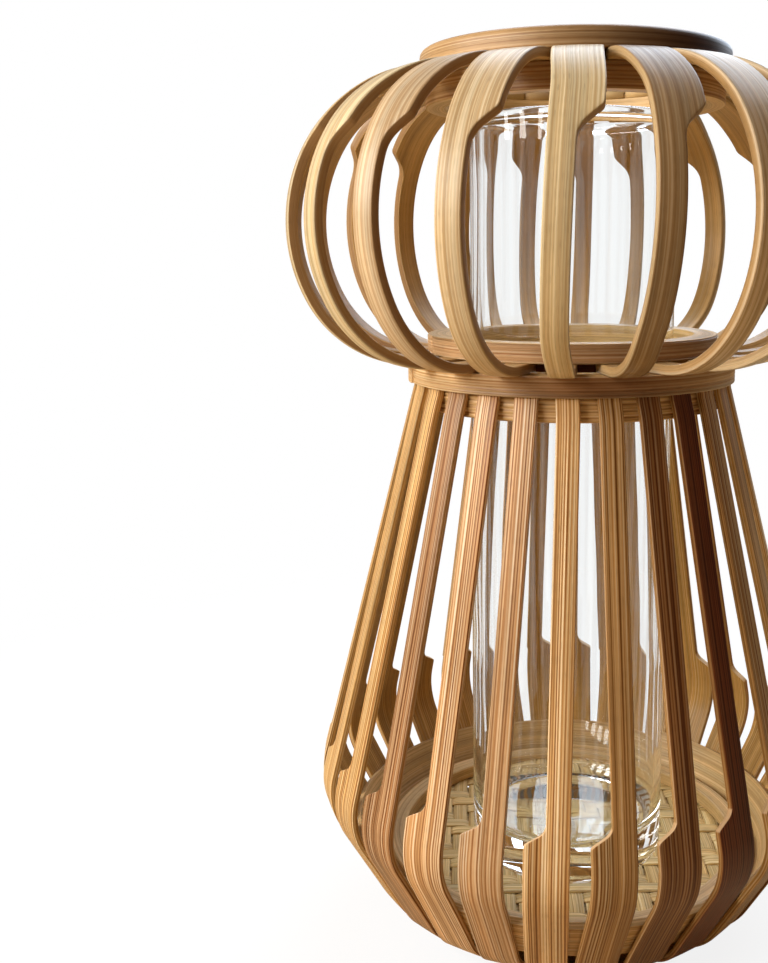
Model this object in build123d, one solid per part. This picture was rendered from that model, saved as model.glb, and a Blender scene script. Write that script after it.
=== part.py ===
from build123d import *
from dataclasses import dataclass
import math
import os

# Bamboo vase: two tiers of bent slats on coiled rings, standing round a lift-out glass cylinder.
# Millimetres, +Z up. The origin is the centre of the foot ring's underside, and the slats stand
# round the Z axis. An angle round the axis is 0 at the front, on -Y, and grows towards +X.

# Waist: a thin hoop outside the lower slats' tops and a ridged ring inside them
WAIST_HOOP_RADIUS = 64.0
WAIST_HOOP_WALL = 1.6
WAIST_HOOP_HEIGHT = 7.4
HOOP_LAP_WALL = 0.9
HOOP_LAP_START = -98.0
HOOP_LAP_SPAN = 26.0
WAIST_RING_HEIGHT = 17.0
WAIST_RING_WALL = 7.0
WAIST_RING_RIDGES = 7
RIDGE_DEPTH = 0.6

# Lower slats: straight flare, belly, slope inwards and a flat tongue under the floor
LOWER_COUNT = 28
LOWER_THICKNESS = 2.4
LOWER_NARROW = 8.5
LOWER_WIDE = 16.0
WAIST_BEND_RADIUS = 8.0
FLARE_ANGLE = 14.6
FLARE_LENGTH = 157.0
BELLY_RADIUS = 28.0
BELLY_TURN = 44.0
SLOPE_LENGTH = 33.0
FOOT_BEND_RADIUS = 32.0
FOOT_TONGUE = 10.0
LOWER_LEDGE_BELOW_FLARE_TOP = 146.5
LOWER_LEDGE_ANGLE = 30.0
LOWER_LEDGE_FILLET = 5.0
LOWER_LEDGE_CORNER = 1.2

# Upper slats: a bulb from the cap hoop round to the waist
UPPER_COUNT = 21
UPPER_THICKNESS = 3.6
UPPER_NARROW = 9.0
UPPER_WIDE = 16.8
BULB_HEIGHT = 108.6
BULB_TOP_TURN = 57.4
BULB_BOTTOM_TURN = 63.0
BULB_SIDE_RADIUS = 60.5
UPPER_LEDGE_ABOVE_SIDE = 2.0
UPPER_LEDGE_ANGLE = 46.0
UPPER_LEDGE_FILLET = 11.0
UPPER_LEDGE_CORNER = 3.0

# Hand spacing: the pitch of the slats sways a little round the cage
UPPER_FIRST = 1.4
UPPER_SWAY = 4.4
UPPER_SWAY_WAVES = 1
UPPER_SWAY_START = -61.0
LOWER_FIRST = -0.8
LOWER_SWAY = 2.4
LOWER_SWAY_WAVES = 1
LOWER_SWAY_START = -10.0
SLAT_GAP = 0.6

# Rings above the waist
CAP_RADIUS = 58.7
CAP_WALL = 8.0
CAP_HEIGHT = 7.4
CAP_TOP_ROUND = 2.4
CAP_EDGE_ROUND = 0.9
TOP_RING_WALL = 8.0
TOP_RING_HEIGHT = 9.4
BULB_RING_RADIUS = 57.1
BULB_RING_WALL = 8.0
BULB_RING_HEIGHT = 7.2
BULB_RING_SKIRT = 1.6
CAP_OVERHANG = 1.9
RING_ROUND = 0.6

# Base: foot ring, floor ring, plaited mat, retaining ring and the band inside the slats
FOOT_RING_WALL = 12.0
FOOT_RING_HEIGHT = 5.0
FOOT_ROUND = 1.0
FLOOR_RING_BORE_RADIUS = 34.0
FLOOR_RING_HEIGHT = 15.1
MAT_CLEARANCE = 0.5
MAT_THICKNESS = 2.4
RETAINING_RING_WALL = 7.5
RETAINING_RING_HEIGHT = 6.0
RETAINING_RING_SETBACK = 0.5
BAND_WALL = 3.0
BAND_LENGTH = 20.0
SEAT_CLEARANCE = 0.1

# Glass cylinder with a thick base
GLASS_RADIUS = 40.0
GLASS_HEIGHT = 300.0
GLASS_WALL = 3.0
GLASS_BASE = 14.0
GLASS_FOOT_ROUND = 4.0
GLASS_INNER_ROUND = 7.0

FRONT = -90.0
REACH = 3 * WAIST_HOOP_RADIUS


@dataclass(frozen=True)
class Run:
    """A straight stretch of a strip."""

    length: float


@dataclass(frozen=True)
class Bend:
    """A bend of a strip: radius on its outer face, turn in degrees, positive to the left."""

    radius: float
    turn: float


def along(heading):
    """Unit vector of a heading in the radial plane, 0 outwards and 90 up."""
    return Vector(math.cos(math.radians(heading)), math.sin(math.radians(heading)))


def follow(start, heading, moves, inset=0.0):
    """Edges of a strip's face through its moves, inset to the right of the way it runs."""
    point = Vector(*start) + along(heading - 90) * inset
    edges = []
    for move in moves:
        if isinstance(move, Run):
            edge = Line(point, point + along(heading) * move.length)
        else:
            radius = move.radius + math.copysign(inset, move.turn)
            edge = JernArc(point, along(heading), radius, move.turn)
            heading += move.turn
        edges.append(edge)
        point = edge @ 1
    return edges


def bent_strip(start, heading, moves, thickness, low, high):
    """Solid strip of one thickness, from low to high across its width."""
    outer = follow(start, heading, moves)
    inner = follow(start, heading, moves, thickness)
    ends = [Line(outer[0] @ 0, inner[0] @ 0), Line(outer[-1] @ 1, inner[-1] @ 1)]
    section = Plane.XZ * make_face(outer + inner + ends)
    return Pos(0, low, 0) * extrude(section, high - low, dir=(0, 1, 0))


def ring(bore_radius, radius, low, height):
    """Plain ring about the Z axis."""
    return Pos(0, 0, low) * extrude(Circle(radius) - Circle(bore_radius), height)


def round_edges(solid, radius, level, amount):
    """Round the circular edges of one radius at one level."""
    def picked(edge):
        return math.isclose(edge.radius, radius) and math.isclose(edge.arc_center.Z, level)

    return fillet(solid.edges().filter_by(GeomType.CIRCLE).filter_by(picked), amount)


def turned(edges):
    """Solid of revolution from edges drawn in the radial plane."""
    return revolve(Plane.XZ * make_face(edges), Axis.Z)


def sway_margin(sway, waves, count):
    """Half of the most that two neighbours come closer because their pitch sways."""
    return sway * math.sin(math.pi * waves / count)


def slat_angles(count, first, sway, waves, start):
    """Angles of the slats round the axis, at an even pitch that sways as hand work does."""
    pitch = 360 / count
    return [
        FRONT + first + pitch * i + sway * math.sin(math.radians(start + waves * pitch * i))
        for i in range(count)
    ]


def clear_neighbours(slat, middle, half_angle, low, high):
    """Trim a slat to its own sector, half a gap short of the planes it shares with its neighbours."""
    for side in (-1, 1):
        across = Align.MIN if side > 0 else Align.MAX
        beyond = Box(REACH, REACH, high - low, align=(Align.MIN, across, Align.MIN))
        beyond = Pos(0, -side * SLAT_GAP / 2, low) * beyond
        slat -= Rot(0, 0, middle + side * half_angle) * beyond
    return slat


def trim_to_outline(strip, plane, shaped_edge, far_side):
    """Keep what lies between a shaped edge, drawn upwards as seen from outside, and a straight one."""
    top = shaped_edge @ 1
    bottom = shaped_edge @ 0
    rest = Polyline(top, (far_side, top.Y), (far_side, bottom.Y), bottom)
    return strip & extrude(plane * make_face([shaped_edge, rest]), REACH, both=True)


# Heights and radii that follow from the sizes above
foot_turn = 90 + FLARE_ANGLE - BELLY_TURN
hoop_bore = WAIST_HOOP_RADIUS - WAIST_HOOP_WALL
lower_face = math.sqrt(hoop_bore ** 2 - (LOWER_NARROW / 2) ** 2)
lower_moves = [
    Run(WAIST_HOOP_HEIGHT),
    Bend(WAIST_BEND_RADIUS, FLARE_ANGLE),
    Run(FLARE_LENGTH),
    Bend(BELLY_RADIUS, -BELLY_TURN),
    Run(SLOPE_LENGTH),
    Bend(FOOT_BEND_RADIUS, -foot_turn),
    Run(FOOT_TONGUE),
]
lower_drop = -(follow((lower_face, 0), -90, lower_moves)[-1] @ 1).Y
waist_top = FOOT_RING_HEIGHT + lower_drop
lower_start = (lower_face, waist_top)
lower_edges = follow(lower_start, -90, lower_moves)
lower_inside = follow(lower_start, -90, lower_moves, LOWER_THICKNESS)
foot_radius = (lower_edges[-1] @ 0).X

waist_ring_radius = lower_face - LOWER_THICKNESS
bulb_ring_low = waist_top + UPPER_THICKNESS
cap_low = waist_top + BULB_HEIGHT
top_ring_radius = CAP_RADIUS - CAP_OVERHANG
top_ring_low = cap_low - UPPER_THICKNESS - TOP_RING_HEIGHT

floor_ring_low = FOOT_RING_HEIGHT + LOWER_THICKNESS
mat_low = floor_ring_low + FLOOR_RING_HEIGHT
mat_top = mat_low + MAT_THICKNESS

# The band lines the slats' slope, and the mat reaches to the band's inner face at the mat's level
slope_heading = FLARE_ANGLE - BELLY_TURN - 90
slope_inwards = along(slope_heading - 90)
band_bottom = lower_inside[4] @ 1 + slope_inwards * SEAT_CLEARANCE
band_inside = band_bottom + slope_inwards * BAND_WALL
spread_per_rise = along(slope_heading).X / along(slope_heading).Y
mat_radius = band_inside.X + (mat_low - band_inside.Y) * spread_per_rise - MAT_CLEARANCE


def bulb_moves():
    """Moves of an upper slat, from level under the cap hoop round to level on the waist hoop.

    The side bend and the turns are given. The top and bottom radii are worked out so that the
    slat starts at the top ring's radius and ends at the waist hoop's, one bulb height lower.
    """
    side_turn = 180 - BULB_TOP_TURN - BULB_BOTTOM_TURN
    headings = [0, -BULB_TOP_TURN, -BULB_TOP_TURN - side_turn, -180]
    sines = [along(h).Y for h in headings]
    cosines = [along(h).X for h in headings]
    out_top, out_side, out_bottom = (sines[i] - sines[i + 1] for i in range(3))
    down_top, down_side, down_bottom = (cosines[i] - cosines[i + 1] for i in range(3))
    out_left = WAIST_HOOP_RADIUS - top_ring_radius - BULB_SIDE_RADIUS * out_side
    down_left = BULB_HEIGHT - BULB_SIDE_RADIUS * down_side
    scale = out_top * down_bottom - out_bottom * down_top
    top_radius = (out_left * down_bottom - out_bottom * down_left) / scale
    bottom_radius = (out_top * down_left - out_left * down_top) / scale
    return [
        Run(TOP_RING_WALL),
        Bend(top_radius, -BULB_TOP_TURN),
        Bend(BULB_SIDE_RADIUS, -side_turn),
        Bend(bottom_radius, -BULB_BOTTOM_TURN),
        Run(WAIST_HOOP_RADIUS - BULB_RING_RADIUS + BULB_RING_WALL),
    ]


def upper_slat():
    """One bulb slat, on +X: wide under the cap, with a shoulder on its right edge from outside."""
    moves = bulb_moves()
    left = -UPPER_NARROW / 2
    right = UPPER_NARROW / 2
    wide_right = left + UPPER_WIDE
    start = (top_ring_radius - TOP_RING_WALL, cap_low)
    strip = bent_strip(start, 0, moves, UPPER_THICKNESS, left, wide_right)

    joint = follow(start, 0, moves)[1] @ 1
    outward = along(90 - BULB_TOP_TURN)
    plane = Plane((joint.X, 0, joint.Y), x_dir=(0, 1, 0), z_dir=(outward.X, 0, outward.Y))
    corner = UPPER_LEDGE_ABOVE_SIDE
    ledge_drop = (wide_right - right) * math.tan(math.radians(UPPER_LEDGE_ANGLE))
    edge = FilletPolyline(
        (right, -REACH),
        (right, corner - ledge_drop),
        (wide_right, corner),
        (wide_right, REACH),
        radius=[UPPER_LEDGE_FILLET, UPPER_LEDGE_CORNER],
    )
    slat = trim_to_outline(strip, plane, edge, left)

    middle = math.degrees(math.atan2((left + wide_right) / 2, CAP_RADIUS))
    half_angle = 180 / UPPER_COUNT - sway_margin(UPPER_SWAY, UPPER_SWAY_WAVES, UPPER_COUNT)
    return clear_neighbours(slat, middle, half_angle, joint.Y, cap_low + UPPER_THICKNESS)


def lower_slat():
    """One belly slat, on +X: narrow at the waist, with a ledge on its left edge from outside."""
    left = -LOWER_NARROW / 2
    right = LOWER_NARROW / 2
    wide_left = right - LOWER_WIDE
    strip = bent_strip(lower_start, -90, lower_moves, LOWER_THICKNESS, wide_left, right)

    ledge = lower_edges[2] @ 0 + along(FLARE_ANGLE - 90) * LOWER_LEDGE_BELOW_FLARE_TOP
    outward = along(FLARE_ANGLE)
    plane = Plane((ledge.X, 0, ledge.Y), x_dir=(0, 1, 0), z_dir=(outward.X, 0, outward.Y))
    ledge_drop = (left - wide_left) * math.tan(math.radians(LOWER_LEDGE_ANGLE))
    edge = FilletPolyline(
        (wide_left, -REACH),
        (wide_left, -ledge_drop),
        (left, 0),
        (left, REACH),
        radius=[LOWER_LEDGE_CORNER, LOWER_LEDGE_FILLET],
    )
    slat = trim_to_outline(strip, plane, edge, right)

    touch_radius = LOWER_COUNT * LOWER_WIDE / (2 * math.pi)
    middle = math.degrees(math.atan2((wide_left + right) / 2, touch_radius))
    half_angle = 180 / LOWER_COUNT - sway_margin(LOWER_SWAY, LOWER_SWAY_WAVES, LOWER_COUNT)
    return clear_neighbours(slat, middle, half_angle, 0, ledge.Y - ledge_drop)


def cap_hoop():
    """Rounded hoop that closes the top of the bulb."""
    hoop = ring(CAP_RADIUS - CAP_WALL, CAP_RADIUS, cap_low, CAP_HEIGHT)
    hoop = round_edges(hoop, CAP_RADIUS, cap_low + CAP_HEIGHT, CAP_TOP_ROUND)
    hoop = round_edges(hoop, CAP_RADIUS - CAP_WALL, cap_low + CAP_HEIGHT, CAP_EDGE_ROUND)
    return round_edges(hoop, CAP_RADIUS, cap_low, CAP_EDGE_ROUND)


def top_coil_ring():
    """Ring under the slats' top tongues."""
    bore = top_ring_radius - TOP_RING_WALL
    solid = ring(bore, top_ring_radius, top_ring_low, TOP_RING_HEIGHT)
    solid = round_edges(solid, top_ring_radius, top_ring_low, RING_ROUND)
    return round_edges(solid, bore, top_ring_low, RING_ROUND)


def bulb_base_ring():
    """Ring that clamps the upper slats' bottom tongues, with a skirt behind them down to the waist."""
    tongue_end = BULB_RING_RADIUS - BULB_RING_WALL
    bore = tongue_end - BULB_RING_SKIRT
    top = bulb_ring_low + BULB_RING_HEIGHT
    solid = ring(bore, BULB_RING_RADIUS, bulb_ring_low, BULB_RING_HEIGHT)
    solid += ring(bore, tongue_end, waist_top, UPPER_THICKNESS)
    solid = round_edges(solid, BULB_RING_RADIUS, top, RING_ROUND)
    return round_edges(solid, bore, top, RING_ROUND)


def waist_hoop():
    """Thin hoop round the lower slats' tops, with the lap where the strip's ends overlap."""
    low = waist_top - WAIST_HOOP_HEIGHT
    hoop = ring(hoop_bore, WAIST_HOOP_RADIUS, low, WAIST_HOOP_HEIGHT)
    start = FRONT + HOOP_LAP_START
    outer = CenterArc((0, 0), WAIST_HOOP_RADIUS + HOOP_LAP_WALL, start, HOOP_LAP_SPAN)
    inner = CenterArc((0, 0), WAIST_HOOP_RADIUS, start, HOOP_LAP_SPAN)
    ends = [Line(outer @ 0, inner @ 0), Line(outer @ 1, inner @ 1)]
    lap = extrude(make_face([outer, inner] + ends), WAIST_HOOP_HEIGHT)
    return hoop + Pos(0, 0, low) * lap


def waist_inner_ring():
    """Ring inside the lower slats' tops, ridged by the strips it is wound from."""
    low = waist_top - WAIST_RING_HEIGHT
    bore = waist_ring_radius - WAIST_RING_WALL
    valley = waist_ring_radius - RIDGE_DEPTH
    step = WAIST_RING_HEIGHT / WAIST_RING_RIDGES
    ridges = [
        ThreePointArc(
            (valley, low + i * step),
            (waist_ring_radius, low + (i + 0.5) * step),
            (valley, low + (i + 1) * step),
        )
        for i in range(WAIST_RING_RIDGES)
    ]
    rest = Polyline((valley, waist_top), (bore, waist_top), (bore, low), (valley, low))
    return turned(ridges + [rest])


def base_band():
    """Conical band that lines the slats' slope round the floor."""
    rise = along(slope_heading) * -BAND_LENGTH
    return turned(
        [Polyline(band_bottom, band_bottom + rise, band_inside + rise, band_inside, band_bottom)]
    )


def woven_mat():
    """Round plaited mat, as the flat disc that its strips fill."""
    return Pos(0, 0, mat_low) * extrude(Circle(mat_radius), MAT_THICKNESS)


def mat_retaining_ring():
    """Ring that holds the mat's rim down."""
    radius = mat_radius - RETAINING_RING_SETBACK
    bore = radius - RETAINING_RING_WALL
    top = mat_top + RETAINING_RING_HEIGHT
    solid = ring(bore, radius, mat_top, RETAINING_RING_HEIGHT)
    solid = round_edges(solid, radius, top, RING_ROUND)
    return round_edges(solid, bore, top, RING_ROUND)


def floor_coil_ring():
    """Broad coiled ring on the lower slats' tongues, under the mat."""
    return ring(FLOOR_RING_BORE_RADIUS, foot_radius, floor_ring_low, FLOOR_RING_HEIGHT)


def foot_ring():
    """Ring under the lower slats' tongues, that the vase stands on."""
    solid = ring(foot_radius - FOOT_RING_WALL, foot_radius, 0, FOOT_RING_HEIGHT)
    return round_edges(solid, foot_radius, 0, FOOT_ROUND)


def glass_cylinder():
    """Straight glass with a thick base, rounded at its foot, its floor and its rim."""
    bore = GLASS_RADIUS - GLASS_WALL
    rim = mat_top + GLASS_HEIGHT
    rim_round = GLASS_WALL / 2
    floor = mat_top + GLASS_BASE
    outside = FilletPolyline(
        (0, mat_top), (GLASS_RADIUS, mat_top), (GLASS_RADIUS, rim - rim_round), radius=GLASS_FOOT_ROUND
    )
    lip = ThreePointArc(
        (GLASS_RADIUS, rim - rim_round), (GLASS_RADIUS - rim_round, rim), (bore, rim - rim_round)
    )
    inside = FilletPolyline(
        (bore, rim - rim_round), (bore, floor), (0, floor), radius=GLASS_INNER_ROUND
    )
    return turned([outside, lip, inside, Line((0, floor), (0, mat_top))])


def all_nodes():
    """Every piece of the vase under its name."""
    nodes = {
        "cap_hoop": cap_hoop(),
        "top_coil_ring": top_coil_ring(),
        "bulb_base_ring": bulb_base_ring(),
        "waist_hoop": waist_hoop(),
        "waist_inner_ring": waist_inner_ring(),
        "base_band": base_band(),
        "mat_retaining_ring": mat_retaining_ring(),
        "woven_mat": woven_mat(),
        "floor_coil_ring": floor_coil_ring(),
        "foot_ring": foot_ring(),
        "glass_cylinder": glass_cylinder(),
    }
    upper_angles = slat_angles(UPPER_COUNT, UPPER_FIRST, UPPER_SWAY, UPPER_SWAY_WAVES, UPPER_SWAY_START)
    lower_angles = slat_angles(LOWER_COUNT, LOWER_FIRST, LOWER_SWAY, LOWER_SWAY_WAVES, LOWER_SWAY_START)
    upper = upper_slat()
    lower = lower_slat()
    for number, angle in enumerate(upper_angles, 1):
        nodes[f"upper_slat_{number:02d}"] = Rot(0, 0, angle) * upper
    for number, angle in enumerate(lower_angles, 1):
        nodes[f"lower_slat_{number:02d}"] = Rot(0, 0, angle) * lower
    return nodes


os.makedirs("parts", exist_ok=True)
for name, solid in all_nodes().items():
    solid.label = name
    export_step(solid, f"parts/{name}.step")
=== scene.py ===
"""Bamboo vase: slats, coiled rings, plaited floor and glass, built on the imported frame."""

import logging
import math
from dataclasses import dataclass
from enum import Enum
from functools import cache
from typing import Any

import bpy
import numpy as np
from mathutils import Matrix, Vector

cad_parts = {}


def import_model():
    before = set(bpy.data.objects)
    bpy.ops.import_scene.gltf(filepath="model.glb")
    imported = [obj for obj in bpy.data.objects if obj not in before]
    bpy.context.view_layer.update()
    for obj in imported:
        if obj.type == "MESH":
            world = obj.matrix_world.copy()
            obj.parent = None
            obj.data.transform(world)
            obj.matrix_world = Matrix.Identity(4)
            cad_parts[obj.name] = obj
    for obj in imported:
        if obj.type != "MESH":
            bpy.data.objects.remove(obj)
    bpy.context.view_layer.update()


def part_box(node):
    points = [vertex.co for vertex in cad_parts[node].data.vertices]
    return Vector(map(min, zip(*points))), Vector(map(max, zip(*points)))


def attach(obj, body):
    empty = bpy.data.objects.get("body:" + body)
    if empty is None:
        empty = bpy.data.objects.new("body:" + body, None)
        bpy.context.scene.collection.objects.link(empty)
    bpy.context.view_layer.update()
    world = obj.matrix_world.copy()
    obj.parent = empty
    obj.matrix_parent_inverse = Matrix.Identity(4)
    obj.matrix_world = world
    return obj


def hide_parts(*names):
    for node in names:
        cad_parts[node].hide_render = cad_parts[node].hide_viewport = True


MM = 0.001
WHITE = "#FFFFFF"
# Direction of the front round the axis, from +X.
FRONT = -math.pi / 2
# The map that the grain follows, and the tonings that a bamboo finish reads from the mesh.
GRAIN_MAP = "grain"
TONINGS = ("flesh", "cut_and_shade", "rosy", "deep")
# Most of a noise lies between these values.
NOISE = (0.3, 0.7)
# Flare of the lower slats from upright, and turn of their bend at the belly, in degrees.
FLARE, BELLY_TURN = 14.6, 44.0
# Wall of the waist hoop and bore of the floor ring, in mm.
HOOP_WALL = 1.6
FLOOR_BORE = 34.0
LOG = logging.getLogger("bamboo_vase")

Values = dict[str, np.ndarray]
Inputs = dict[str | int, Any]
Stops = tuple[str, str, str, str]


class Body(Enum):
    """The bodies of the frame that a piece can ride on."""

    CAGE = "cage"
    GLASS = "glass"


class Side(Enum):
    """The edge of a slat that carries its shoulder, seen from outside."""

    LEFT = -1
    RIGHT = 1


# Meshes


@dataclass
class Patch:
    """A grid of points as quads, with its grain coordinates in metres.

    Attributes:
        points: Vertices, rows by columns by three.
        u: Grain coordinate across, at the start and at the end of each column of quads.
        v: Grain coordinate along, one per row of corners.
        values: Named numbers per vertex, rows by columns, that a finish reads.
        closed_rows: True where the last row joins the first.
        closed_columns: True where the last column joins the first.
    """

    points: np.ndarray
    u: tuple[np.ndarray, np.ndarray]
    v: np.ndarray
    values: Values
    closed_rows: bool = False
    closed_columns: bool = True

    def quads(self) -> np.ndarray:
        """Number the corners of each quad: two neighbours in a row and the two after them in the next.

        Returns:
            Vertex numbers, quads by four.
        """
        rows, columns = self.points.shape[:2]
        low = np.arange(rows if self.closed_rows else rows - 1)[:, None] * columns
        high = (low + columns) % (rows * columns)
        here = np.arange(columns if self.closed_columns else columns - 1)[None, :]
        after = (here + 1) % columns
        return np.stack([low + here, low + after, high + after, high + here], axis=-1).reshape(-1, 4)

    def corners(self) -> np.ndarray:
        """Give the grain coordinates of each quad's corners, in the order of quads().

        Returns:
            Coordinates across and along, corners by two.
        """
        start, end = self.u
        v_low = np.broadcast_to(self.v[:-1, None], start[:-1].shape)
        v_high = np.broadcast_to(self.v[1:, None], start[1:].shape)
        us = np.stack([start[:-1], end[:-1], end[1:], start[1:]], axis=-1)
        vs = np.stack([v_low, v_low, v_high, v_high], axis=-1)
        return np.stack([us, vs], axis=-1).reshape(-1, 2)

    def caps(self) -> list[list[int]]:
        """Close the patch where its rows or columns are open.

        Returns:
            The vertex numbers of each closing face.
        """
        numbers = np.arange(self.points.shape[0] * self.points.shape[1]).reshape(self.points.shape[:2])
        if not self.closed_rows:
            return [numbers[0, ::-1].tolist(), numbers[-1].tolist()]
        if not self.closed_columns:
            return [numbers[:, 0].tolist(), numbers[::-1, -1].tolist()]
        return []


def linked(name: str, data: bpy.types.ID) -> bpy.types.Object:
    """Make an object of some data and link it to the scene.

    Args:
        name: The object's name.
        data: Its mesh, lamp or camera.

    Returns:
        The object, at the origin.
    """
    made = bpy.data.objects.new(name, data)
    bpy.context.scene.collection.objects.link(made)
    return made


def make_object(name: str, patches: list[Patch], material: bpy.types.Material) -> bpy.types.Object:
    """Make one mesh object of closed patches.

    A patch's faces are turned round where its volume, added up over triangles from its middle, is negative.

    Args:
        name: The piece's name.
        patches: The closed shells that the piece is made of.
        material: The finish.

    Returns:
        The linked object, at the origin.
    """
    points, faces, corners, start = [], [], [], 0
    for patch in patches:
        quads, caps, flat = patch.quads(), patch.caps(), patch.points.reshape(-1, 3)
        grain = patch.corners()
        a, b, c = (flat[quads[:, k]] - flat.mean(axis=0) for k in range(3))
        if np.einsum("ij,ij->", a, np.cross(b, c)) < 0:
            quads, grain = quads[:, ::-1], grain.reshape(-1, 4, 2)[:, ::-1].reshape(-1, 2)
            caps = [cap[::-1] for cap in caps]
        points.append(flat)
        faces += (quads + start).tolist() + [[i + start for i in cap] for cap in caps]
        corners += [grain] + [np.zeros((len(cap), 2)) for cap in caps]
        start += len(flat)
    mesh = bpy.data.meshes.new(name)
    mesh.from_pydata(np.concatenate(points).tolist(), [], faces)
    mesh.uv_layers.new(name=GRAIN_MAP).data.foreach_set("uv", np.concatenate(corners).ravel())
    for key in patches[0].values:
        store = mesh.attributes.new(key, "FLOAT", "POINT")
        store.data.foreach_set("value", np.concatenate([p.values[key].ravel() for p in patches]))
    mesh.polygons.foreach_set("use_smooth", np.ones(len(mesh.polygons), bool))
    mesh.materials.append(material)
    return linked(name, mesh)


def place(piece: bpy.types.Object, body: Body, slot: str, *nodes: str) -> None:
    """Let a piece ride on its body and stand for its nodes.

    Args:
        piece: The piece.
        body: The body that it rides on.
        slot: Its material slot; not used.
        nodes: The nodes that it stands for.
    """
    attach(piece, body.value)
    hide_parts(*nodes)
    LOG.info("%s: %d faces", piece.name, len(piece.data.polygons))


def smooth_step(x: np.ndarray) -> np.ndarray:
    """Rise from 0 to 1 with level ends: three x squared less two x cubed, with x held from 0 to 1."""
    x = np.clip(x, 0.0, 1.0)
    return x * x * (3.0 - 2.0 * x)


def rounded_loop(corners: list[tuple[float, float]], radii: list[float], steps: int = 5) -> np.ndarray:
    """Round the corners of a convex outline with arcs.

    An arc's centre lies on the line that halves its corner, as far in as lets it touch both sides.

    Args:
        corners: The outline's corners in order.
        radii: One rounding radius per corner.
        steps: Points per rounded corner.

    Returns:
        The closed outline as points by two.
    """
    loop = np.asarray(corners, float)
    out = []
    for here, before, after, radius in zip(loop, np.roll(loop, 1, 0), np.roll(loop, -1, 0), radii):
        back = (before - here) / np.linalg.norm(before - here)
        ahead = (after - here) / np.linalg.norm(after - here)
        half = math.acos(np.clip(back @ ahead, -1, 1)) / 2
        middle = (back + ahead) / np.linalg.norm(back + ahead)
        side = ahead - (ahead @ middle) * middle
        side = side / np.linalg.norm(side)
        centre = here + middle * radius / math.sin(half)
        swing = np.linspace(-1, 1, steps)[:, None] * (math.pi / 2 - half)
        out.append(centre + radius * (np.sin(swing) * side - np.cos(swing) * middle))
    return np.concatenate(out)


def resampled(loop: np.ndarray, step: float) -> np.ndarray:
    """Add points to a closed outline at even steps of its length, between its own points.

    Args:
        loop: The outline's points.
        step: The step in the outline's unit.

    Returns:
        The outline's own points and the added ones, in order.
    """
    closed = np.vstack([loop, loop[:1]])
    way = np.append(0.0, np.cumsum(np.linalg.norm(np.diff(closed, axis=0), axis=1)))
    at = np.union1d(way[:-1], np.arange(step / 2, way[-1], step))
    return np.stack([np.interp(at, way, closed[:, 0]), np.interp(at, way, closed[:, 1])], axis=1)


def loop_grain(loop: np.ndarray, rows: int) -> tuple[np.ndarray, np.ndarray]:
    """Give the grain coordinate across: the length gone round a closed outline.

    Args:
        loop: The outline's points in mm.
        rows: Rows of the grid that the outline is carried along.

    Returns:
        The coordinate in metres at the start and at the end of each column of quads, in each row.
    """
    lengths = np.linalg.norm(np.roll(loop, -1, 0) - loop, axis=1)
    ends = np.cumsum(lengths)
    return np.tile((ends - lengths) * MM, (rows, 1)), np.tile(ends * MM, (rows, 1))


def round_axis(radius: np.ndarray, angle: np.ndarray, height: np.ndarray) -> np.ndarray:
    """Turn radius, angle and height in mm into points in metres."""
    return np.stack([radius * np.cos(angle), radius * np.sin(angle), height + 0 * radius], axis=-1) * MM


# Finishes


def linear(code: str) -> tuple[float, float, float, float]:
    """Turn an sRGB hex colour into the linear colour that a shader takes.

    The curve of sRGB is straight near black and a power above that.

    Args:
        code: The colour, such as #C8A878.

    Returns:
        Red, green, blue and alpha.
    """
    part = np.array([int(code[i:i + 2], 16) for i in (1, 3, 5)]) / 255.0
    value = np.where(part <= 0.04045, part / 12.92, ((part + 0.055) / 1.055) ** 2.4)
    return (*value.tolist(), 1.0)


def spread(value: Any, source: tuple[float, float], target: tuple[float, float]) -> Inputs:
    """Name the inputs that take a value from one range to another."""
    return {"Value": value, "From Min": source[0], "From Max": source[1],
            "To Min": target[0], "To Max": target[1]}


class Shader:
    """The nodes of a material or of the world.

    Attributes:
        RAMP: Places of a colour ramp's stops.
        owner: The material or the world.
        tree: Its node tree.
    """

    RAMP = (0.35, 0.453, 0.557, 0.66)

    def __init__(self, owner: bpy.types.Material | bpy.types.World) -> None:
        """Start with no nodes.

        Args:
            owner: The material or the world.
        """
        owner.use_nodes = True
        self.owner = owner
        self.tree = owner.node_tree
        self.tree.nodes.clear()

    def add(self, kind: str, inputs: Inputs, out: str | int = 0, stops: tuple[str, ...] = (),
            **settings: Any) -> bpy.types.NodeSocket | None:
        """Add a node.

        Args:
            kind: The node's type, without the word that all shader nodes start with.
            inputs: A value, or a socket to link, by the input's name or number.
            out: The output that is wanted, by name or number.
            stops: Colours of a colour ramp, over the values that are common in noise.
            settings: The node's own settings.

        Returns:
            The output, or None where the node has none.
        """
        made = self.tree.nodes.new("ShaderNode" + kind)
        for key, value in settings.items():
            setattr(made, key, value)
        for key, value in inputs.items():
            if isinstance(value, bpy.types.NodeSocket):
                self.tree.links.new(value, made.inputs[key])
            else:
                made.inputs[key].default_value = value
        for _ in stops[2:]:
            made.color_ramp.elements.new(0.5)
        for number, code in enumerate(stops):
            made.color_ramp.elements[number].position = self.RAMP[number]
            made.color_ramp.elements[number].color = linear(code)
        return made.outputs[out] if made.outputs else None

    def seen(self, *rays: str) -> bpy.types.NodeSocket:
        """Tell rays of some kinds from the rest.

        Args:
            rays: Names of the Light Path's outputs.

        Returns:
            1 for a ray of one of these kinds, else 0.
        """
        result = self.add("LightPath", {}, rays[0])
        for ray in rays[1:]:
            result = self.add("Math", {0: result, 1: self.add("LightPath", {}, ray)}, operation="MAXIMUM")
        return result


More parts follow.
